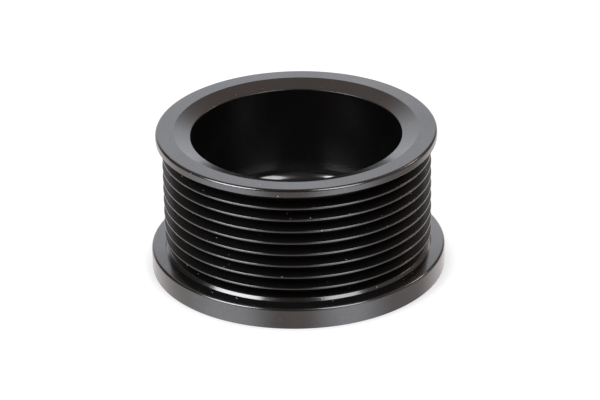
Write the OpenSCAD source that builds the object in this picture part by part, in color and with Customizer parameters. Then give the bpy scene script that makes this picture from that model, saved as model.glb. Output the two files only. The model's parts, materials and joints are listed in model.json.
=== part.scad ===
// Alternator pulley for a multi-rib belt, turned from one piece of steel and blackened.
// It is a ring of V grooves between two belt guides, with a deep round well in front for the
// shaft nut and, at the back, a thick web with the shaft bore through it.
// The Z axis is the shaft axis. Z = 0 is the rear face, which seats against the alternator.
// The whole piece is one outline turned round that axis: each corner of the outline is given
// sharp, with the radius that the turning tool leaves on it.

/* [Grooves] */
// Number of V grooves
groove_n = 9; // [3:1:14]
// Distance from one groove to the next
groove_pitch = 3.56; // [2.34:0.01:4.8]
// Angle between the two flanks of a groove, in degrees
groove_angle = 40; // [34:1:50]
// Diameter over the crests between the grooves
crest_d = 76.9; // [62:0.1:140]
// Flat width of a crest before its corners are rounded
crest_w = 0.5; // [0.45:0.05:1.2]
// Radius on the corners of a crest
crest_r = 0.3; // [0:0.05:0.35]
// Radius at the root of a groove
root_r = 0.4; // [0:0.05:0.5]

/* [Belt guides] */
// Height of the front guide above the crests
front_guide_h = 1.7; // [0.8:0.1:6]
// Thickness of the front guide at its foot
front_guide_t = 2.45; // [1.5:0.05:8]
// Height of the rear guide above the crests
rear_guide_h = 3.9; // [1.5:0.1:8]
// Thickness of the rear guide at its foot
rear_guide_t = 6.5; // [3:0.05:16]
// Lean of the guides' inner faces away from the belt, in degrees
guide_lean = 5; // [0:0.5:12]
// Space between the foot of the front guide and the nearest groove
front_land_w = 0.9; // [0.3:0.05:2.5]
// Space between the foot of the rear guide and the nearest groove
rear_land_w = 0.6; // [0.3:0.05:2.5]
// Lean of the chamfered lands in those spaces from the shaft axis, in degrees
land_angle = 35; // [25:1:50]

/* [Well] */
// Wall between the roots of the grooves and the well
rim_wall = 4.9; // [2.5:0.1:12]
// Radius where the wall of the well meets its floor
well_fillet_r = 3.5; // [0.5:0.1:8]
// Width of the countersink at the mouth of the well, along the radius
mouth_w = 4.8; // [0.5:0.1:7]
// Slope of that countersink down from the front face, in degrees
mouth_angle = 19.5; // [5:0.5:50]

/* [Web and bore] */
// Thickness of the web that the nut clamps
web_t = 11; // [5:0.5:24]
// Diameter of the shaft bore
bore_d = 17; // [12:0.1:25]
// Chamfer at both ends of the shaft bore
bore_chamfer = 0.8; // [0.1:0.1:2]

/* [Edges] */
// Radius on the outer edge of the front face
front_edge_r = 0.5; // [0:0.1:1]
// Radius on the front edge of the rear guide
rear_guide_edge_r = 0.8; // [0:0.1:1.5]
// Radius that breaks the other outer edges
edge_break_r = 0.25; // [0:0.05:0.5]

/* [Hidden] */
$fn = 180;

// Angle that each straight step of a rounded corner turns through
ARC_STEP = 15;
FULL_TURN = 360;

// Grooves: half the width of one at the crests, and how deep its flanks would meet in a sharp V
groove_half_w = (groove_pitch - crest_w) / 2;
flank_angle = groove_angle / 2;
v_depth = groove_half_w / tan(flank_angle);
groove_depth = v_depth - root_r * (1 / sin(flank_angle) - 1);

// Radii
crest_R = crest_d / 2;
root_R = crest_R - groove_depth;
v_R = crest_R - v_depth;
well_R = root_R - rim_wall;
mouth_R = well_R + mouth_w;
front_R = crest_R + front_guide_h;
rear_R = crest_R + rear_guide_h;
bore_R = bore_d / 2;

// Heights above the rear face
first_groove_z = rear_guide_t + rear_land_w + groove_half_w;
last_groove_z = first_groove_z + (groove_n - 1) * groove_pitch;
front_foot_z = last_groove_z + groove_half_w + front_land_w;
body_h = front_foot_z + front_guide_t;
rear_rim_z = rear_guide_t - rear_guide_h * tan(guide_lean);
front_rim_z = front_foot_z + front_guide_h * tan(guide_lean);
mouth_z = body_h - mouth_w * tan(mouth_angle);

// How far below the crests the chamfered land of a given width runs into the groove's flank
function land_depth(land_w) = land_w / (1 / tan(land_angle) - tan(flank_angle));

// The rear edge of groove i, counted from the back, then its root, then its front edge.
// The outer edges of the end grooves run into the lands beside the guides.
function rear_edge_of(i) =
    i > 0
    ? [crest_R, first_groove_z + i * groove_pitch - groove_half_w, crest_r]
    : let (sunk = land_depth(rear_land_w))
      [crest_R - sunk, rear_guide_t + sunk / tan(land_angle), edge_break_r];
function root_of(i) = [v_R, first_groove_z + i * groove_pitch, root_r];
function front_edge_of(i) =
    i < groove_n - 1
    ? [crest_R, first_groove_z + i * groove_pitch + groove_half_w, crest_r]
    : let (sunk = land_depth(front_land_w))
      [crest_R - sunk, front_foot_z - sunk / tan(land_angle), edge_break_r];

// The corners of the outline, anticlockwise from the bore: distance from the axis, height, radius
rear_face = [[bore_R + bore_chamfer, 0, 0], [rear_R, 0, edge_break_r]];
rear_guide = [[rear_R, rear_rim_z, rear_guide_edge_r], [crest_R, rear_guide_t, 0]];
grooves = [for (i = [0:groove_n - 1]) each [rear_edge_of(i), root_of(i), front_edge_of(i)]];
front_guide = [[crest_R, front_foot_z, 0], [front_R, front_rim_z, edge_break_r]];
front_face = [[front_R, body_h, front_edge_r], [mouth_R, body_h, edge_break_r]];
well = [[well_R, mouth_z, edge_break_r], [well_R, web_t, well_fillet_r]];
bore = [
    [bore_R + bore_chamfer, web_t, 0],
    [bore_R, web_t - bore_chamfer, 0],
    [bore_R, bore_chamfer, 0],
];
outline = concat(rear_face, rear_guide, grooves, front_guide, front_face, well, bore);

function flat(corner) = [corner.x, corner.y];
function unit(v) = v / norm(v);
function heading(v) = atan2(v.y, v.x);

// The points that round one corner off: an arc that touches both of its sides, turned the short way
function rounded(before, corner, after) =
    let (
        tip = flat(corner),
        r = corner.z,
        to_before = unit(flat(before) - tip),
        to_after = unit(flat(after) - tip),
        half = acos(to_before * to_after) / 2,
        centre = tip + unit(to_before + to_after) * r / sin(half),
        start = heading(tip + to_before * r / tan(half) - centre),
        end = heading(tip + to_after * r / tan(half) - centre),
        turn = (end - start + FULL_TURN * 1.5) % FULL_TURN - FULL_TURN / 2,
        steps = ceil(abs(turn) / ARC_STEP)
    )
    r == 0
    ? [tip]
    : [for (k = [0:steps]) let (a = start + turn * k / steps) centre + r * [cos(a), sin(a)]];

function round_all(corners) =
    let (n = len(corners))
    [for (i = [0:n - 1]) each rounded(corners[(i + n - 1) % n], corners[i], corners[(i + 1) % n])];

module pulley() {
    color("#2b2a29")
        rotate_extrude()
            polygon(round_all(outline));
}

pulley();
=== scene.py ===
"""A blackened steel alternator pulley on a pale studio floor.

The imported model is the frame: the pulley stands on Z = 0 and its shaft axis is Z. The pulley is
turned again here from its own outline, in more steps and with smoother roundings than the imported
mesh has, and gets the finish of turned and blackened steel. The studio around it is a paper floor,
a room that is drawn as light from each direction, and three lamps.
"""

import json
import logging
import math
from dataclasses import dataclass, field
from enum import IntEnum
from typing import Any

import bpy
from mathutils import Matrix, Vector


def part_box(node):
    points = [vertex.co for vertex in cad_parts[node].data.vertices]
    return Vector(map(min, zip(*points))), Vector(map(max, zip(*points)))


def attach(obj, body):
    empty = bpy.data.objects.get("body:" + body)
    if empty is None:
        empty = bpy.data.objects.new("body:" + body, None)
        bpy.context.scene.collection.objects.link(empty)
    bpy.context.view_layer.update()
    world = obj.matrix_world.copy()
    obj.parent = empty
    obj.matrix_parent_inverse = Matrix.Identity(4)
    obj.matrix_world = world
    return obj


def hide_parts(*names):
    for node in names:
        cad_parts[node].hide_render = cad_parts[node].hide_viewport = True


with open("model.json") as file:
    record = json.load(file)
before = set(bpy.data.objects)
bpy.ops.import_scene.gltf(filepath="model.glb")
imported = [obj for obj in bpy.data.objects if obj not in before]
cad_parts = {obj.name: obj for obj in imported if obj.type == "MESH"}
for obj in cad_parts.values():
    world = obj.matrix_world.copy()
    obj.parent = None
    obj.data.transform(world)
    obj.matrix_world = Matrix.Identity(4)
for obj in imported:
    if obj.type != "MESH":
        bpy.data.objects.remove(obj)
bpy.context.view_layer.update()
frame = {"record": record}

MM = 0.001
FULL_TURN = math.tau
# Nearly all of a noise texture's values lie between these two
NOISE_LOW = 0.3
NOISE_HIGH = 0.7
# What is left of a place when only the part across the shaft axis counts
ACROSS_AXIS = (1, 1, 0)
WHITE = "#ffffff"

log = logging.getLogger("pulley")

# A point is (distance from the axis, height) in millimetres, and a corner has its radius after them
Corner = tuple[float, float, float]
Point = tuple[float, float]
Tree = bpy.types.NodeTree
Socket = bpy.types.NodeSocket


def linear(hex_colour: str) -> tuple[float, float, float, float]:
    """Turn an sRGB hex colour to linear light, by the straight foot and the power of its curve.

    Args:
        hex_colour: Six hex digits after a hash sign.

    Returns:
        Linear red, green and blue, with an alpha of 1.
    """
    shares = [int(hex_colour[i:i + 2], 16) / 255 for i in (1, 3, 5)]
    red, green, blue = (s / 12.92 if s <= 0.04045 else ((s + 0.055) / 1.055) ** 2.4 for s in shares)
    return red, green, blue, 1.0


def add_node(tree: Tree, kind: str, inputs: dict[Any, Any] | None = None,
             **settings: Any) -> bpy.types.Node:
    """Add a node to a tree, with its settings and links.

    Args:
        tree: The tree that gets the node.
        kind: The node's type name.
        inputs: What each input takes, by its name or its place: a value or another node's socket.
        settings: The node's own options.

    Returns:
        The new node.
    """
    node = tree.nodes.new(kind)
    for option, value in settings.items():
        setattr(node, option, value)
    for key, value in (inputs or {}).items():
        if isinstance(value, Socket):
            tree.links.new(value, node.inputs[key])
        else:
            node.inputs[key].default_value = value
    return node


class Stretch(IntEnum):
    """The stretches of the pulley's outline: what lies behind the ribs, one rib, and the rest."""

    REAR = 0
    RIB = 1
    FRONT = 2


@dataclass(frozen=True)
class Rounder:
    """Rounds the corners of an outline as the turning tool does."""

    # The most that one straight step of an arc turns through
    step: float = math.radians(14)
    # How far past an arc its shading is held, in millimetres
    hold: float = 0.05

    def arc(self, before: Point, corner: Corner, after: Point) -> list[Point]:
        """Round one corner off with an arc that touches both of its sides.

        A point is added on each side just past the arc, so that the shading of the arc doesn't
        spread over the straight face beside it.

        Args:
            before: The outline's point before the corner.
            corner: The sharp corner, with its radius.
            after: The outline's point after the corner.

        Returns:
            The points that take the corner's place.
        """
        tip, radius = Vector(corner[:2]), corner[2]
        if radius == 0:
            return [tuple(tip)]
        to_before = (Vector(before[:2]) - tip).normalized()
        to_after = (Vector(after[:2]) - tip).normalized()
        half = to_before.angle(to_after) / 2
        centre = tip + (to_before + to_after).normalized() * radius / math.sin(half)
        reach = radius / math.tan(half)
        first = tip + to_before * reach - centre
        last = tip + to_after * reach - centre
        start = math.atan2(first.y, first.x)
        # The short way round from the first point to the last
        turn = (math.atan2(last.y, last.x) - start + 1.5 * FULL_TURN) % FULL_TURN - FULL_TURN / 2
        steps = math.ceil(abs(turn) / self.step)
        angles = [start + turn * k / steps for k in range(steps + 1)]
        bend = [centre + radius * Vector((math.cos(a), math.sin(a))) for a in angles]
        held = [bend[0] + to_before * self.hold, *bend, bend[-1] + to_after * self.hold]
        return [tuple(point) for point in held]

    def open_line(self, corners: list[Corner]) -> list[Point]:
        """Round the corners of an open line, whose two ends stay as they are.

        Args:
            corners: The line's corners, each with its radius.

        Returns:
            The rounded line's points.
        """
        inner = [self.arc(a, b, c) for a, b, c in zip(corners, corners[1:], corners[2:])]
        return [corners[0][:2], *(point for arc in inner for point in arc), corners[-1][:2]]


@dataclass
class TurnedOutline:
    """Half of the pulley's section, in millimetres.

    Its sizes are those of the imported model, but for the two edges that are marked below.
    """

    outer_r: float
    height: float
    bore_r: float
    web_t: float
    groove_n: int = 9
    groove_pitch: float = 3.56
    flank_angle: float = math.radians(20)
    crest_r: float = 38.45
    crest_w: float = 0.5
    crest_edge: float = 0.3
    root_edge: float = 0.4
    front_guide_h: float = 1.7
    rear_guide_t: float = 6.5
    guide_lean: float = math.radians(5)
    front_land_w: float = 0.9
    rear_land_w: float = 0.6
    land_angle: float = math.radians(35)
    rim_wall: float = 4.9
    well_fillet: float = 3.5
    mouth_w: float = 4.8
    mouth_angle: float = math.radians(19.5)
    bore_chamfer: float = 0.8
    # These two edges catch the light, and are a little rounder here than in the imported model
    front_edge: float = 0.8
    mouth_edge: float = 0.4
    rear_guide_edge: float = 0.8
    edge_break: float = 0.25
    rounder: Rounder = field(default_factory=Rounder)

    @property
    def half_groove(self) -> float:
        """Half the width of a groove at the crests."""
        return (self.groove_pitch - self.crest_w) / 2

    @property
    def v_r(self) -> float:
        """Distance from the axis at which a groove's flanks would meet."""
        return self.crest_r - self.half_groove / math.tan(self.flank_angle)

    @property
    def root_r(self) -> float:
        """Distance from the axis to the rounded root of a groove."""
        return self.v_r + self.root_edge * (1 / math.sin(self.flank_angle) - 1)

    @property
    def first_groove_z(self) -> float:
        """Height of the first groove's root."""
        return self.rear_guide_t + self.rear_land_w + self.half_groove

    def land(self, width: float) -> tuple[float, float]:
        """Size a chamfered land that runs from a guide's foot into a groove's flank.

        Args:
            width: The space that the land spans at the crests.

        Returns:
            How far the land goes in towards the axis, and how far along it.
        """
        depth = width / (1 / math.tan(self.land_angle) - math.tan(self.flank_angle))
        return depth, depth / math.tan(self.land_angle)

    def half_root(self, z: float, side: int) -> list[Corner]:
        """Give one half of a groove's rounded root, between its lowest point and its flank.

        Args:
            z: The root's height.
            side: 1 for the half towards the front, -1 for the half towards the rear.

        Returns:
            The corners of that half, from the lowest point out, with no rounding left to do.
        """
        turn = math.pi / 2 - self.flank_angle
        steps = math.ceil(turn / self.rounder.step)
        centre_r = self.root_r + self.root_edge
        half = [(centre_r - self.root_edge * math.cos(turn * k / steps),
                 z + side * self.root_edge * math.sin(turn * k / steps), 0.0)
                for k in range(steps + 1)]
        end_r, end_z, _ = half[-1]
        hold = self.rounder.hold
        held = (end_r + hold * math.cos(self.flank_angle),
                end_z + side * hold * math.sin(self.flank_angle), 0.0)
        return [*half, held]

    def rear(self) -> list[Point]:
        """Trace the outline from the bore's rear end to the first groove's root.

        Returns:
            The points of that stretch.
        """
        bore_out = self.bore_r + self.bore_chamfer
        guide_h = self.outer_r - self.crest_r
        depth, along = self.land(self.rear_land_w)
        root = self.half_root(self.first_groove_z, -1)[::-1]
        return self.rounder.open_line([
            (self.bore_r, self.bore_chamfer, 0),
            (bore_out, 0, 0),
            (self.outer_r, 0, self.edge_break),
            (self.outer_r, self.rear_guide_t - guide_h * math.tan(self.guide_lean),
             self.rear_guide_edge),
            (self.crest_r, self.rear_guide_t, 0),
            (self.crest_r - depth, self.rear_guide_t + along, self.edge_break),
            *root,
        ])

    def rib(self) -> list[Point]:
        """Trace the first rib, from the root behind it to the root in front of it.

        Returns:
            The points of that rib.
        """
        z = self.first_groove_z
        crest_z = z + self.half_groove
        return self.rounder.open_line([
            *self.half_root(z, 1),
            (self.crest_r, crest_z, self.crest_edge),
            (self.crest_r, crest_z + self.crest_w, self.crest_edge),
            *self.half_root(z + self.groove_pitch, -1)[::-1],
        ])

    def front(self) -> list[Point]:
        """Trace the outline from the last groove's root to the bore's front end.

        Returns:
            The points of that stretch.
        """
        last_z = self.first_groove_z + (self.groove_n - 1) * self.groove_pitch
        foot_z = last_z + self.half_groove + self.front_land_w
        depth, along = self.land(self.front_land_w)
        front_r = self.crest_r + self.front_guide_h
        well_r = self.root_r - self.rim_wall
        return self.rounder.open_line([
            *self.half_root(last_z, 1),
            (self.crest_r - depth, foot_z - along, self.edge_break),
            (self.crest_r, foot_z, 0),
            (front_r, foot_z + self.front_guide_h * math.tan(self.guide_lean), self.edge_break),
            (front_r, self.height, self.front_edge),
            (well_r + self.mouth_w, self.height, self.edge_break),
            (well_r, self.height - self.mouth_w * math.tan(self.mouth_angle), self.mouth_edge),
            (well_r, self.web_t, self.well_fillet),
            (self.bore_r + self.bore_chamfer, self.web_t, 0),
            (self.bore_r, self.web_t - self.bore_chamfer, 0),
            (self.bore_r, self.bore_chamfer, 0),
        ])


class TurningTree:
    """Geometry Nodes that repeat the rib along the axis and turn the whole outline round it."""

    def __init__(self) -> None:
        """Make the tree and its sockets, then its nodes."""
        self.tree = bpy.data.node_groups.new("turned_outline", "GeometryNodeTree")
        self._sockets()
        self._nodes()

    def _sockets(self) -> None:
        """Name the tree's inputs and its output."""
        face = self.tree.interface
        face.new_socket("Outline", in_out="INPUT", socket_type="NodeSocketGeometry")
        face.new_socket("Rib Count", in_out="INPUT", socket_type="NodeSocketInt")
        face.new_socket("Groove Pitch", in_out="INPUT", socket_type="NodeSocketFloat")
        face.new_socket("Spine Radius", in_out="INPUT", socket_type="NodeSocketFloat")
        face.new_socket("Segments", in_out="INPUT", socket_type="NodeSocketInt")
        face.new_socket("Weld Distance", in_out="INPUT", socket_type="NodeSocketFloat")
        face.new_socket("Crease Angle", in_out="INPUT", socket_type="NodeSocketFloat")
        face.new_socket("Finish", in_out="INPUT", socket_type="NodeSocketMaterial")
        face.new_socket("Pulley", in_out="OUTPUT", socket_type="NodeSocketGeometry")

    def _nodes(self) -> None:
        """Lay out the nodes, from the outline to the finished pulley."""
        given = add_node(self.tree, "NodeGroupInput").outputs
        outline = self._whole_outline(given)
        turned = self._turned(outline, given)
        dressed = self._dressed(turned, given)
        add_node(self.tree, "NodeGroupOutput", {"Pulley": dressed})

    def _whole_outline(self, given: bpy.types.NodeOutputs) -> Socket:
        """Repeat the rib at the groove pitch, and weld the ribs to the outline's two ends.

        Args:
            given: The tree's inputs.

        Returns:
            The socket with the whole outline.
        """
        tree = self.tree
        stretch = add_node(tree, "GeometryNodeInputNamedAttribute", {"Name": "stretch"},
                           data_type="INT")
        is_rib = add_node(tree, "FunctionNodeCompare",
                          {2: stretch.outputs["Attribute"], 3: int(Stretch.RIB)},
                          data_type="INT", operation="EQUAL")
        parted = add_node(tree, "GeometryNodeSeparateGeometry",
                          {"Geometry": given["Outline"], "Selection": is_rib.outputs["Result"]},
                          domain="POINT")
        step = add_node(tree, "ShaderNodeCombineXYZ", {"Z": given["Groove Pitch"]})
        places = add_node(tree, "GeometryNodeMeshLine",
                          {"Count": given["Rib Count"], "Offset": step.outputs["Vector"]},
                          mode="OFFSET")
        ribs = add_node(tree, "GeometryNodeInstanceOnPoints",
                        {"Points": places.outputs["Mesh"],
                         "Instance": parted.outputs["Selection"]})
        real_ribs = add_node(tree, "GeometryNodeRealizeInstances",
                             {"Geometry": ribs.outputs["Instances"]})
        whole = add_node(tree, "GeometryNodeJoinGeometry",
                         {"Geometry": parted.outputs["Inverted"]})
        tree.links.new(real_ribs.outputs["Geometry"], whole.inputs["Geometry"])
        welded = add_node(tree, "GeometryNodeMergeByDistance",
                          {"Geometry": whole.outputs["Geometry"],
                           "Distance": given["Weld Distance"]})
        return welded.outputs["Geometry"]

    def _turned(self, outline: Socket, given: bpy.types.NodeOutputs) -> Socket:
        """Sweep the outline round a circle about the shaft axis.

        Args:
            outline: The socket with the whole outline, which stands in the XZ plane.
            given: The tree's inputs.

        Returns:
            The socket with the turned mesh, whose faces point outwards.
        """
        tree = self.tree
        place = add_node(tree, "ShaderNodeSeparateXYZ",
                         {"Vector": add_node(tree, "GeometryNodeInputPosition").outputs[0]})
        outward = add_node(tree, "ShaderNodeMath",
                           {0: place.outputs["X"], 1: given["Spine Radius"]},
                           operation="SUBTRACT")
        down = add_node(tree, "ShaderNodeMath", {0: place.outputs["Z"], 1: -1.0},
                        operation="MULTIPLY")
        beside = add_node(tree, "ShaderNodeCombineXYZ",
                          {"X": outward.outputs[0], "Y": down.outputs[0]})
        laid = add_node(tree, "GeometryNodeSetPosition",
                        {"Geometry": outline, "Position": beside.outputs["Vector"]})
        profile = add_node(tree, "GeometryNodeMeshToCurve", {"Mesh": laid.outputs["Geometry"]})
        spine = add_node(tree, "GeometryNodeCurvePrimitiveCircle",
                         {"Resolution": given["Segments"], "Radius": given["Spine Radius"]})
        turned = add_node(tree, "GeometryNodeCurveToMesh",
                          {"Curve": spine.outputs["Curve"],
                           "Profile Curve": profile.outputs["Curve"]})
        outside = add_node(tree, "GeometryNodeFlipFaces", {"Mesh": turned.outputs["Mesh"]})
        return outside.outputs["Mesh"]

    def _dressed(self, turned: Socket, given: bpy.types.NodeOutputs) -> Socket:
        """Shade the roundings smooth, keep the creases sharp, and set the finish.

        Args:
            turned: The socket with the turned mesh.
            given: The tree's inputs.

        Returns:
            The socket with the finished pulley.
        """
        tree = self.tree
        smooth = add_node(tree, "GeometryNodeSetShadeSmooth",
                          {"Geometry": turned, "Shade Smooth": True}, domain="FACE")
        bend = add_node(tree, "GeometryNodeInputMeshEdgeAngle")
        sharp = add_node(tree, "FunctionNodeCompare",
                         {0: bend.outputs["Unsigned Angle"], 1: given["Crease Angle"]},
                         data_type="FLOAT", operation="GREATER_THAN")
        creased = add_node(tree, "GeometryNodeSetShadeSmooth",
                           {"Geometry": smooth.outputs["Geometry"],
                            "Selection": sharp.outputs["Result"], "Shade Smooth": False},
                           domain="EDGE")
        real = add_node(tree, "GeometryNodeRealizeInstances",
                        {"Geometry": creased.outputs["Geometry"]})
        dressed = add_node(tree, "GeometryNodeSetMaterial",
                           {"Geometry": real.outputs["Geometry"], "Material": given["Finish"]})
        return dressed.outputs["Geometry"]

    def turn(self, piece: bpy.types.Object, sizes: dict[str, Any]) -> None:
        """Turn an outline into the solid piece, in place.

        Args:
            piece: The object whose mesh is the outline.
            sizes: What each named input takes.
        """
        modifier = piece.modifiers.new("turned", "NODES")
        modifier.node_group = self.tree
        for socket in self.tree.interface.items_tree:
            if socket.in_out == "INPUT" and socket.name in sizes:
                modifier[socket.identifier] = sizes[socket.name]
        seen = piece.evaluated_get(bpy.context.evaluated_depsgraph_get())
        solid = bpy.data.meshes.new_from_object(seen)
        piece.modifiers.remove(modifier)
        piece.data = solid


@dataclass(frozen=True)
class BlackenedSteel:
    """Carbon steel, turned and then blackened in a hot oxide bath.

    The oxide is thin, so the steel still mirrors like metal, but it gives back only about a quarter
    of the light. The turning tool leaves fine rings, which show as a satin sheen. Down in the
    grooves and on the well's wall the colour is darker, a painted shade, and the metal is duller.
    """

    name: str = "blackened_turned_steel"
    colour: str = "#858381"
    # The share of the surface that mirrors; the rest is matt oxide, a faint haze in dark places
    metal_share: float = 0.955
    # Handling leaves smudges of this size, over which the sheen wanders a little
    roughness: float = 0.17
    roughness_spread: float = 0.06
    smudge_mm: float = 9.0
    smudge_detail: float = 3.0
    # The oxide's tone wanders a little over the piece, and from grain to grain
    tone_mm: float = 26.0
    tone_detail: float = 2.0
    tone_spread: float = 0.09
    grain_mm: float = 0.45
    grain_detail: float = 1.0
    grain_spread: float = 0.07
    # Painted shade: the grooves and the well's wall get this darker colour, a duller sheen and less
    # haze
    hollow_shade_colour: str = "#575553"
    hollow_roughness: float = 0.3
    hollow_metal_share: float = 0.97
    # The hollows lie between these heights: past the rear land and below the well's countersink
    hollow_low_mm: float = 7.46
    hollow_high_mm: float = 40.29
    # A groove has its full painted shade and dullness inside the first radius, none from the second
    # out
    groove_deep_mm: float = 38.24
    groove_edge_mm: float = 38.42
    # Inside this radius lies the well. Its wall gets painted shade and dullness from the second
    # height up, and none below the first, on its fillet
    well_mm: float = 32.5
    well_shine_mm: float = 14.5
    well_dull_mm: float = 17.5
    # The feed of the tool leaves rings about 0.1 mm apart, too fine for the picture: drawn coarser
    ring_mm: float = 0.35
    ring_detail: float = 2.0
    ring_height_mm: float = 0.0015
    dust_colour: str = "#f4f3f0"
    dust_roughness: float = 0.9
    dust_spacing_mm: float = 2.2
    dust_radius_mm: float = 0.2
    # In this band round the ribs the specks have their full size; elsewhere they are finer
    dust_band_mm: float = 39.0
    dust_half_band_mm: float = 3.0
    dust_fine_share: float = 0.45

    def material(self) -> bpy.types.Material:
        """Make the material.

        Returns:
            The material, which reads Object coordinates.
        """
        material = bpy.data.materials.new(self.name)
        material.use_nodes = True
        tree = material.node_tree
        shader = tree.nodes["Principled BSDF"].inputs
        place = add_node(tree, "ShaderNodeTexCoord").outputs["Object"]
        across = add_node(tree, "ShaderNodeVectorMath", {0: place, 1: ACROSS_AXIS},
                          operation="MULTIPLY")
        radius = add_node(tree, "ShaderNodeVectorMath", {0: across.outputs[0]},
                          operation="LENGTH").outputs["Value"]
        height = add_node(tree, "ShaderNodeSeparateXYZ", {0: place}).outputs["Z"]
        hollow = self._hollow(tree, radius, height)
        dust = self._dust(tree, place, radius)
        tree.links.new(self._colour(tree, place, hollow, dust), shader["Base Color"])
        tree.links.new(self._mirror_share(tree, hollow, dust), shader["Metallic"])
        tree.links.new(self._sheen(tree, place, hollow, dust), shader["Roughness"])
        tree.links.new(self._rings(tree, radius, height), shader["Normal"])
        return material

    def _colour(self, tree: Tree, place: Socket, hollow: Socket, dust: Socket) -> Socket:
        """Colour the oxide, with painted shade in the hollows, and the dust on it.

        Args:
            tree: The material's tree.
            place: Object coordinates.
            hollow: 1 in the hollows.
            dust: 1 on a speck.

        Returns:
            The socket with the colour.
        """
        steel = add_node(tree, "ShaderNodeMix",
                         {0: hollow, 6: linear(self.colour), 7: linear(self.hollow_shade_colour)},
                         data_type="RGBA")
        wander = self._wander(tree, place, self.tone_mm, self.tone_detail,
                              1 - self.tone_spread, 1 + self.tone_spread)
        grain = self._wander(tree, place, self.grain_mm, self.grain_detail,
                             1 - self.grain_spread, 1 + self.grain_spread)
        tone = add_node(tree, "ShaderNodeMath", {0: wander, 1: grain}, operation="MULTIPLY")
        toned = add_node(tree, "ShaderNodeVectorMath",
                         {0: steel.outputs[2], "Scale": tone.outputs[0]}, operation="SCALE")
        colour = add_node(tree, "ShaderNodeMix",
                          {0: dust, 6: toned.outputs[0], 7: linear(self.dust_colour)},
                          data_type="RGBA")
        return colour.outputs[2]

    def _mirror_share(self, tree: Tree, hollow: Socket, dust: Socket) -> Socket:
        """Give how much of the surface mirrors as metal: nearly all of it, and nothing of the dust.

        Args:
            tree: The material's tree.
            hollow: 1 in the hollows.
            dust: 1 on a speck.

        Returns:
            The socket with the share.
        """
        steel = add_node(tree, "ShaderNodeMix",
                         {0: hollow, 2: self.metal_share, 3: self.hollow_metal_share},
                         data_type="FLOAT")
        share = add_node(tree, "ShaderNodeMix", {0: dust, 2: steel.outputs[0], 3: 0.0},
                         data_type="FLOAT")
        return share.outputs[0]

    def _sheen(self, tree: Tree, place: Socket, hollow: Socket, dust: Socket) -> Socket:
        """Give the roughness: satin steel with smudges, duller in the hollows, and matt dust.

        Args:
            tree: The material's tree.
            place: Object coordinates.
            hollow: 1 in the hollows.
            dust: 1 on a speck.

        Returns:
            The socket with the roughness.
        """
        satin = self._wander(tree, place, self.smudge_mm, self.smudge_detail,
                             self.roughness - self.roughness_spread / 2,
                             self.roughness + self.roughness_spread / 2)
        steel = add_node(tree, "ShaderNodeMix", {0: hollow, 2: satin, 3: self.hollow_roughness},
                         data_type="FLOAT")
        rough = add_node(tree, "ShaderNodeMix",
                         {0: dust, 2: steel.outputs[0], 3: self.dust_roughness},
                         data_type="FLOAT")
        return rough.outputs[0]

    def _rings(self, tree: Tree, radius: Socket, height: Socket) -> Socket:
        """Raise the fine rings that the turning tool leaves.

        Args:
            tree: The material's tree.
            radius: Distance from the axis.
            height: Height above the rear face.

        Returns:
            The socket with the normal.
        """
        section = add_node(tree, "ShaderNodeCombineXYZ", {"X": radius, "Y": height})
        rings = add_node(tree, "ShaderNodeTexNoise",
                         {"Vector": section.outputs["Vector"], "Scale": 1 / (self.ring_mm * MM),
                          "Detail": self.ring_detail})
        bump = add_node(tree, "ShaderNodeBump",
                        {"Distance": self.ring_height_mm * MM, "Height": rings.outputs["Fac"]})
        return bump.outputs["Normal"]

    @staticmethod
    def _wander(tree: Tree, place: Socket, size_mm: float, detail: float, low: float,
                high: float) -> Socket:
        """Give a value that wanders smoothly over the piece.

        Args:
            tree: The material's tree.
            place: Object coordinates.
            size_mm: How large the patches are.
            detail: How many finer layers lie over them.
            low: The least value, but for a few stray peaks.
            high: The greatest value, but for a few stray peaks.

        Returns:
            The socket with the value.
        """
        noise = add_node(tree, "ShaderNodeTexNoise",
                         {"Vector": place, "Scale": 1 / (size_mm * MM), "Detail": detail})
        value = add_node(tree, "ShaderNodeMapRange",
                         {"Value": noise.outputs["Fac"], "From Min": NOISE_LOW,
                          "From Max": NOISE_HIGH, "To Min": low, "To Max": high})
        return value.outputs["Result"]

    def _hollow(self, tree: Tree, radius: Socket, height: Socket) -> Socket:
        """Give 1 for painted shade in the grooves and on the well's wall, and 0 on the other faces.

        Args:
            tree: The material's tree.
            radius: Distance from the axis.
            height: Height above the rear face.

        Returns:
            The socket with that share.
        """
        sunk = add_node(tree, "ShaderNodeMapRange",
                        {"Value": radius, "From Min": self.groove_deep_mm * MM,
                         "From Max": self.groove_edge_mm * MM, "To Min": 1.0, "To Max": 0.0})
        above = add_node(tree, "ShaderNodeMath", {0: height, 1: self.hollow_low_mm * MM},
                         operation="GREATER_THAN")
        below = add_node(tree, "ShaderNodeMath", {0: height, 1: self.hollow_high_mm * MM},
                         operation="LESS_THAN")
        outside = add_node(tree, "ShaderNodeMath", {0: radius, 1: self.well_mm * MM},
                           operation="GREATER_THAN")
        groove = add_node(tree, "ShaderNodeMath", {0: above.outputs[0], 1: outside.outputs[0]},
                          operation="MULTIPLY")
        well = add_node(tree, "ShaderNodeMapRange",
                        {"Value": height, "From Min": self.well_shine_mm * MM,
                         "From Max": self.well_dull_mm * MM})
        dull = add_node(tree, "ShaderNodeMix",
                        {0: outside.outputs[0], 2: well.outputs[0], 3: groove.outputs[0]},
                        data_type="FLOAT")
        low = add_node(tree, "ShaderNodeMath", {0: dull.outputs[0], 1: below.outputs[0]},
                       operation="MULTIPLY")
        share = add_node(tree, "ShaderNodeMath", {0: low.outputs[0], 1: sunk.outputs[0]},
                         operation="MULTIPLY")
        return share.outputs[0]

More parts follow.
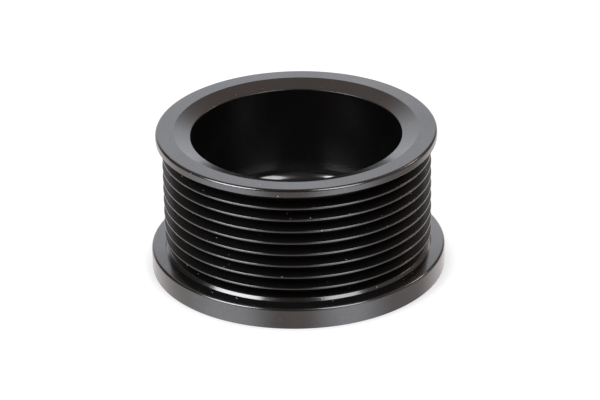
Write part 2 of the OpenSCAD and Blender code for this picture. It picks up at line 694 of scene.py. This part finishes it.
    def _dust(self, tree: Tree, place: Socket, radius: Socket) -> Socket:
        """Give 1 on scattered specks of dust, each of its own size, and 0 elsewhere.

        Args:
            tree: The material's tree.
            place: Object coordinates.
            radius: Distance from the axis.

        Returns:
            The socket with that share.
        """
        grains = add_node(tree, "ShaderNodeTexVoronoi",
                          {"Vector": place, "Scale": 1 / (self.dust_spacing_mm * MM)})
        in_band = add_node(tree, "ShaderNodeMath",
                           {0: radius, 1: self.dust_band_mm * MM, 2: self.dust_half_band_mm * MM},
                           operation="COMPARE")
        largest = self.dust_radius_mm / self.dust_spacing_mm
        limit = add_node(tree, "ShaderNodeMix",
                         {0: in_band.outputs[0], 2: largest * self.dust_fine_share, 3: largest},
                         data_type="FLOAT")
        size = add_node(tree, "ShaderNodeMath",
                        {0: grains.outputs["Color"], 1: limit.outputs[0]}, operation="MULTIPLY")
        speck = add_node(tree, "ShaderNodeMath",
                         {0: grains.outputs["Distance"], 1: size.outputs[0]},
                         operation="LESS_THAN")
        return speck.outputs[0]


@dataclass
class Pulley:
    """The pulley, turned from one piece of steel."""

    outline: TurnedOutline
    finish: BlackenedSteel = field(default_factory=BlackenedSteel)
    segments: int = 256
    # Points of the outline that lie closer than this are one
    weld: float = 0.001 * MM
    # Edges that bend more than this stay sharp
    crease: float = math.radians(16)

    def build(self) -> bpy.types.Object:
        """Turn the pulley and dress it.

        Returns:
            The pulley, which stands for the CAD node.
        """
        piece = bpy.data.objects.new("turned_pulley", self._outline_mesh())
        bpy.context.scene.collection.objects.link(piece)
        TurningTree().turn(piece, {
            "Rib Count": self.outline.groove_n - 1,
            "Groove Pitch": self.outline.groove_pitch * MM,
            "Spine Radius": self.outline.crest_r * MM,
            "Segments": self.segments,
            "Weld Distance": self.weld,
            "Crease Angle": self.crease,
            "Finish": self.finish.material(),
        })
        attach(piece, "root")
        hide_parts("pulley")
        return piece

    def _outline_mesh(self) -> bpy.types.Mesh:
        """Lay the outline's stretches out as lines of points, each point marked with its stretch.

        Returns:
            A mesh of points and edges in the XZ plane.
        """
        stretches = {Stretch.REAR: self.outline.rear(), Stretch.RIB: self.outline.rib(),
                     Stretch.FRONT: self.outline.front()}
        points, edges, marks = [], [], []
        for stretch, line in stretches.items():
            start = len(points)
            points += [(r * MM, 0.0, z * MM) for r, z in line]
            edges += [(i, i + 1) for i in range(start, len(points) - 1)]
            marks += [int(stretch)] * len(line)
        mesh = bpy.data.meshes.new("pulley_outline")
        mesh.from_pydata(points, edges, [])
        mesh.attributes.new("stretch", "INT", "POINT").data.foreach_set("value", marks)
        return mesh


@dataclass
class Softbox:
    """A lamp behind a white cloth, facing the pulley."""

    name: str
    # Turn from the front to the right, and angle above the floor, as the pulley sees it
    azimuth: float
    elevation: float
    width: float
    height: float
    # Power over pi, for each square metre of width times height
    strength: float
    colour: str = "#f0f3fc"
    distance: float = 1.1

    def build(self, target: Vector) -> None:
        """Hang the lamp, out of the camera's sight.

        Args:
            target: The point that it faces.
        """
        lamp = bpy.data.lights.new(self.name, "AREA")
        lamp.shape = "ELLIPSE"
        lamp.size, lamp.size_y = self.width, self.height
        lamp.energy = self.strength * math.pi * self.width * self.height
        lamp.color = linear(self.colour)[:3]
        away = Vector((math.sin(self.azimuth) * math.cos(self.elevation),
                       -math.cos(self.azimuth) * math.cos(self.elevation),
                       math.sin(self.elevation)))
        stand = bpy.data.objects.new(self.name, lamp)
        stand.location = target + away * self.distance
        stand.rotation_euler = away.to_track_quat("Z", "Y").to_euler()
        stand.visible_camera = False
        bpy.context.scene.collection.objects.link(stand)
        log.info("lamp %s", self.name)


@dataclass(frozen=True)
class DimStretch:
    """A stretch of the room's lower half that is dimmer than the rest, seen from the pulley."""

    # Turn from the front to the right
    centre: float
    half_width: float
    # The turn over which the light comes back at either end
    softness: float
    # The share of the light that is missing
    depth: float


@dataclass
class Room:
    """The room round the pulley, drawn as the light that comes from each direction.

    The lower half and the back wall are white, the front is dark above the table. A room's dim
    light is warmer than its bright light.
    """

    # Light is a share of white. A direction has parts to the right, back and up, each from -1 to 1
    low_light: float = 0.96
    front_light: float = 0.04
    # To the right the dark front gives way to some light
    right_light: float = 0.16
    right_from: float = 0.45
    right_full: float = 0.85
    # High up, and behind, there is a dim ceiling
    ceiling_light: float = 0.21
    ceiling_from: float = 0.4
    ceiling_full: float = 0.7
    back_full: float = 0.4
    wall_light: float = 0.98
    # The way to the middle of the bright wall, in a space that is narrower across
    wall_way: tuple[float, float, float] = (-0.04, 0.975, 0.22)
    wall_squeeze: tuple[float, float, float] = (0.8, 1.0, 1.0)
    # Cosines of the angles from there at which the wall sets in and is fully bright
    wall_rim: float = 0.80
    wall_core: float = 0.96
    wall_falloff: float = 2.0
    dim_colour: str = "#ffe8e0"
    bright_colour: str = "#f0f4fd"
    dim_until: float = 0.15
    bright_from: float = 0.6
    # The lower half has this colour from the sides on back
    side_colour: str = "#fffafb"
    side_from: float = -0.1
    side_full: float = 0.3
    dim_stretches: tuple[DimStretch, ...] = (
        DimStretch(math.radians(-6), math.radians(25), math.radians(34), 0.66),
        DimStretch(math.radians(92), math.radians(30), math.radians(38), 0.60),
        DimStretch(math.radians(-104), math.radians(18), math.radians(38), 0.34),
    )

    def build(self) -> None:
        """Make the world's light; the camera itself sees white."""
        world = bpy.data.worlds.new("studio")
        bpy.context.scene.world = world
        world.use_nodes = True
        tree = world.node_tree
        tree.nodes.clear()
        way = add_node(tree, "ShaderNodeTexCoord").outputs["Generated"]
        parts = add_node(tree, "ShaderNodeSeparateXYZ", {0: way}).outputs
        is_low = add_node(tree, "ShaderNodeMath", {0: parts["Z"], 1: 0.0},
                          operation="LESS_THAN").outputs[0]
        light = add_node(tree, "ShaderNodeMix",
                         {0: is_low, 2: self._upper(tree, way, parts), 3: self._lower(tree, parts)},
                         data_type="FLOAT").outputs[0]
        seen = add_node(tree, "ShaderNodeLightPath").outputs["Is Camera Ray"]
        shown_colour = add_node(tree, "ShaderNodeMix",
                                {0: seen, 6: self._colour(tree, light, is_low, parts["Y"]),
                                 7: linear(WHITE)}, data_type="RGBA")
        shown_light = add_node(tree, "ShaderNodeMix", {0: seen, 2: light, 3: 1.0},
                               data_type="FLOAT")
        sky = add_node(tree, "ShaderNodeBackground",
                       {"Color": shown_colour.outputs[2], "Strength": shown_light.outputs[0]})
        add_node(tree, "ShaderNodeOutputWorld", {"Surface": sky.outputs[0]})

    def _colour(self, tree: Tree, light: Socket, is_low: Socket, back: Socket) -> Socket:
        """Colour the light, warm where it is dim and cool where it is bright.

        Args:
            tree: The world's tree.
            light: How bright the room is there.
            is_low: 1 in the lower half.
            back: The direction's part towards the back.

        Returns:
            The socket with the colour.
        """
        share = add_node(tree, "ShaderNodeMapRange",
                         {"Value": light, "From Min": self.dim_until,
                          "From Max": self.bright_from})
        tint = add_node(tree, "ShaderNodeMix",
                        {0: share.outputs[0], 6: linear(self.dim_colour),
                         7: linear(self.bright_colour)}, data_type="RGBA")
        behind = add_node(tree, "ShaderNodeMapRange",
                          {"Value": back, "From Min": self.side_from, "From Max": self.side_full})
        at_side = add_node(tree, "ShaderNodeMath", {0: is_low, 1: behind.outputs[0]},
                           operation="MULTIPLY")
        colour = add_node(tree, "ShaderNodeMix",
                          {0: at_side.outputs[0], 6: tint.outputs[2],
                           7: linear(self.side_colour)}, data_type="RGBA")
        return colour.outputs[2]

    def _upper(self, tree: Tree, way: Socket, parts: bpy.types.NodeOutputs) -> Socket:
        """Light the upper half: dark, but for a bright wall behind and a dim ceiling over it.

        Args:
            tree: The world's tree.
            way: The direction.
            parts: The sockets with the direction's X, Y and Z.

        Returns:
            The socket with the light.
        """
        back = add_node(tree, "ShaderNodeMapRange",
                        {"Value": parts["Y"], "From Max": self.back_full},
                        interpolation_type="SMOOTHSTEP")
        high = add_node(tree, "ShaderNodeMapRange",
                        {"Value": parts["Z"], "From Min": self.ceiling_from,
                         "From Max": self.ceiling_full},
                        interpolation_type="SMOOTHSTEP")
        over = add_node(tree, "ShaderNodeMath", {0: back.outputs[0], 1: high.outputs[0]},
                        operation="MULTIPLY")
        right = add_node(tree, "ShaderNodeMapRange",
                         {"Value": parts["X"], "From Min": self.right_from,
                          "From Max": self.right_full, "To Min": self.front_light,
                          "To Max": self.right_light},
                         interpolation_type="SMOOTHSTEP")
        ceiling = add_node(tree, "ShaderNodeMix",
                           {0: over.outputs[0], 2: right.outputs[0], 3: self.ceiling_light},
                           data_type="FLOAT")
        squeezed = add_node(tree, "ShaderNodeVectorMath", {0: way, 1: self.wall_squeeze},
                            operation="MULTIPLY")
        unit = add_node(tree, "ShaderNodeVectorMath", {0: squeezed.outputs[0]},
                        operation="NORMALIZE")
        toward = add_node(tree, "ShaderNodeVectorMath", {0: unit.outputs[0], 1: self.wall_way},
                          operation="DOT_PRODUCT")
        near = add_node(tree, "ShaderNodeMapRange",
                        {"Value": toward.outputs["Value"], "From Min": self.wall_rim,
                         "From Max": self.wall_core})
        faded = add_node(tree, "ShaderNodeMath", {0: near.outputs[0], 1: self.wall_falloff},
                         operation="POWER")
        upper = add_node(tree, "ShaderNodeMix",
                         {0: faded.outputs[0], 2: ceiling.outputs[0], 3: self.wall_light},
                         data_type="FLOAT")
        return upper.outputs[0]

    def _lower(self, tree: Tree, parts: bpy.types.NodeOutputs) -> Socket:
        """Light the lower half: white, but for its dim stretches.

        Args:
            tree: The world's tree.
            parts: The sockets with the direction's X, Y and Z.

        Returns:
            The socket with the light.
        """
        ahead = add_node(tree, "ShaderNodeMath", {0: parts["Y"], 1: -1.0}, operation="MULTIPLY")
        turn = add_node(tree, "ShaderNodeMath", {0: parts["X"], 1: ahead.outputs[0]},
                        operation="ARCTAN2")
        light = add_node(tree, "ShaderNodeValue").outputs[0]
        light.default_value = self.low_light
        for dim in self.dim_stretches:
            off = add_node(tree, "ShaderNodeMath", {0: turn.outputs[0], 1: dim.centre},
                           operation="SUBTRACT")
            away = add_node(tree, "ShaderNodeMath", {0: off.outputs[0]}, operation="ABSOLUTE")
            left = add_node(tree, "ShaderNodeMapRange",
                            {"Value": away.outputs[0],
                             "From Min": dim.half_width - dim.softness / 2,
                             "From Max": dim.half_width + dim.softness / 2,
                             "To Min": 1 - dim.depth}, interpolation_type="SMOOTHSTEP")
            light = add_node(tree, "ShaderNodeMath", {0: light, 1: left.outputs[0]},
                             operation="MULTIPLY").outputs[0]
        return light


@dataclass(frozen=True)
class FloorPaper:
    """White background paper.

    Paper is matt, so the floor takes the pulley's soft shadow and shows no reflection of it. It
    glows to the camera alone, which makes it white there with no more light on the pulley.
    """

    name: str = "white_paper_floor"
    colour: str = "#c6c6c6"
    glow: float = 0.84
    # Close to the pulley it glows less, a painted contact shadow over the real one
    contact_reach: float = 0.004
    contact_share: float = 0.45
    contact_samples: int = 8

    def material(self) -> bpy.types.Material:
        """Make the material.

        Returns:
            The material, which is the same all over but for the pulley's shadow.
        """
        material = bpy.data.materials.new(self.name)
        material.use_nodes = True
        tree = material.node_tree
        tree.nodes.clear()
        path = add_node(tree, "ShaderNodeLightPath")
        paper = add_node(tree, "ShaderNodeBsdfDiffuse", {"Color": linear(self.colour)})
        open_share = add_node(tree, "ShaderNodeAmbientOcclusion", {"Distance": self.contact_reach},
                              samples=self.contact_samples)
        kept = add_node(tree, "ShaderNodeMapRange",
                        {"Value": open_share.outputs["AO"],
                         "To Min": self.glow * self.contact_share, "To Max": self.glow})
        strength = add_node(tree, "ShaderNodeMath",
                            {0: path.outputs["Is Camera Ray"], 1: kept.outputs[0]},
                            operation="MULTIPLY")
        glow = add_node(tree, "ShaderNodeEmission", {"Strength": strength.outputs[0]})
        both = add_node(tree, "ShaderNodeAddShader", {0: paper.outputs[0], 1: glow.outputs[0]})
        add_node(tree, "ShaderNodeOutputMaterial", {"Surface": both.outputs[0]})
        return material


@dataclass(frozen=True)
class ShadedPaper:
    """The same paper right under the pulley: matt, and dark because the pulley stands over it."""

    name: str = "shaded_paper"
    colour: str = "#c6c6c6"
    roughness: float = 1.0

    def material(self) -> bpy.types.Material:
        """Make the material.

        Returns:
            The material, which is the same all over.
        """
        material = bpy.data.materials.new(self.name)
        material.use_nodes = True
        shader = material.node_tree.nodes["Principled BSDF"].inputs
        shader["Base Color"].default_value = linear(self.colour)
        shader["Roughness"].default_value = self.roughness
        return material


@dataclass
class Studio:
    """A white floor, the room, two softboxes in front and a small lamp at the far right."""

    floor_size: float = 3.0
    floor_paper: FloorPaper = field(default_factory=FloorPaper)
    shade_r: float = 0.038
    shade_drop: float = 0.0005
    shade_sides: int = 64
    shade_paper: ShadedPaper = field(default_factory=ShadedPaper)
    lamp_aim_z: float = 0.02
    room: Room = field(default_factory=Room)
    softboxes: tuple[Softbox, ...] = (
        Softbox("softbox_left", math.radians(-58.5), math.radians(37), 0.76, 0.68, 3.5),
        Softbox("softbox_right", math.radians(40), math.radians(46), 0.54, 1.05, 1.9),
        Softbox("lamp_far_right", math.radians(114), math.radians(34), 0.24, 0.22, 3.0, "#ffeee8"),
    )

    def build(self) -> None:
        """Lay the floor and the shade, set the room's light and hang the lamps."""
        self._floor()
        self._shade()
        self.room.build()
        for softbox in self.softboxes:
            softbox.build(Vector((0, 0, self.lamp_aim_z)))

    def _floor(self) -> None:
        """Lay the floor."""
        half = self.floor_size / 2
        corners = [(-half, -half, 0), (half, -half, 0), (half, half, 0), (-half, half, 0)]
        floor = self._sheet("floor", corners, self.floor_paper.material())
        # The steel mirrors the room's lower half instead, which is brighter than this lit floor
        floor.visible_glossy = False

    def _shade(self) -> None:
        """Lay a disc under the pulley, so that the bore mirrors its dark foot and not the room."""
        turns = [FULL_TURN * k / self.shade_sides for k in range(self.shade_sides)]
        rim = [(self.shade_r * math.cos(a), self.shade_r * math.sin(a), -self.shade_drop)
               for a in turns]
        shade = self._sheet("shade", rim, self.shade_paper.material())
        shade.visible_camera = False

    @staticmethod
    def _sheet(name: str, rim: list[tuple[float, float, float]],
               material: bpy.types.Material) -> bpy.types.Object:
        """Lay a flat sheet of paper.

        Args:
            name: The sheet's name.
            rim: Its corners, anticlockwise from above.
            material: The paper.

        Returns:
            The sheet.
        """
        mesh = bpy.data.meshes.new(name)
        mesh.from_pydata(rim, [], [tuple(range(len(rim)))])
        mesh.materials.append(material)
        sheet = bpy.data.objects.new(name, mesh)
        bpy.context.scene.collection.objects.link(sheet)
        log.info("sheet %s", name)
        return sheet


@dataclass
class PhotoCamera:
    """The camera where the photograph was taken from, fitted to the pulley's edges."""

    # Metres in front of the shaft axis, and above the floor
    distance: float = 0.81657
    height: float = 0.42583
    pitch: float = math.radians(26.48)
    yaw: float = math.radians(0.05)
    roll: float = math.radians(-1.12)
    lens: float = 190.24
    sensor: float = 36.0

    def build(self) -> bpy.types.Object:
        """Set the camera up and make it the scene's own.

        Returns:
            The camera.
        """
        ahead = Vector((math.sin(self.yaw) * math.cos(self.pitch),
                        math.cos(self.yaw) * math.cos(self.pitch), -math.sin(self.pitch)))
        level = ahead.cross(Vector((0, 0, 1))).normalized()
        above = level.cross(ahead)
        right = level * math.cos(self.roll) + above * math.sin(self.roll)
        up = above * math.cos(self.roll) - level * math.sin(self.roll)
        data = bpy.data.cameras.new("photo_camera")
        data.lens = self.lens
        data.sensor_width = self.sensor
        data.sensor_fit = "HORIZONTAL"
        camera = bpy.data.objects.new("photo_camera", data)
        turn = Matrix((right, up, -ahead)).transposed().to_4x4()
        camera.matrix_world = Matrix.Translation((0, -self.distance, self.height)) @ turn
        bpy.context.scene.collection.objects.link(camera)
        bpy.context.scene.camera = camera
        return camera


def main() -> None:
    """Set the camera up, then build the pulley and the studio around it."""
    logging.basicConfig(level=logging.INFO, format="%(message)s")
    bpy.context.scene.view_settings.view_transform = "Standard"
    camera = PhotoCamera().build()
    log.info("camera %s", camera.name)
    mounts = {mount["name"]: mount for mount in frame["record"]["mounts"]}
    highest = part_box("pulley")[1]
    outline = TurnedOutline(
        outer_r=highest[0] / MM,
        height=highest[2] / MM,
        bore_r=mounts["shaft_bore"]["dims"]["r_mm"],
        web_t=mounts["nut_seat"]["pos_m"][2] / MM,
    )
    piece = Pulley(outline).build()
    log.info("%s: %d faces", piece.name, len(piece.data.polygons))
    Studio().build()


if __name__ == "__main__":
    main()
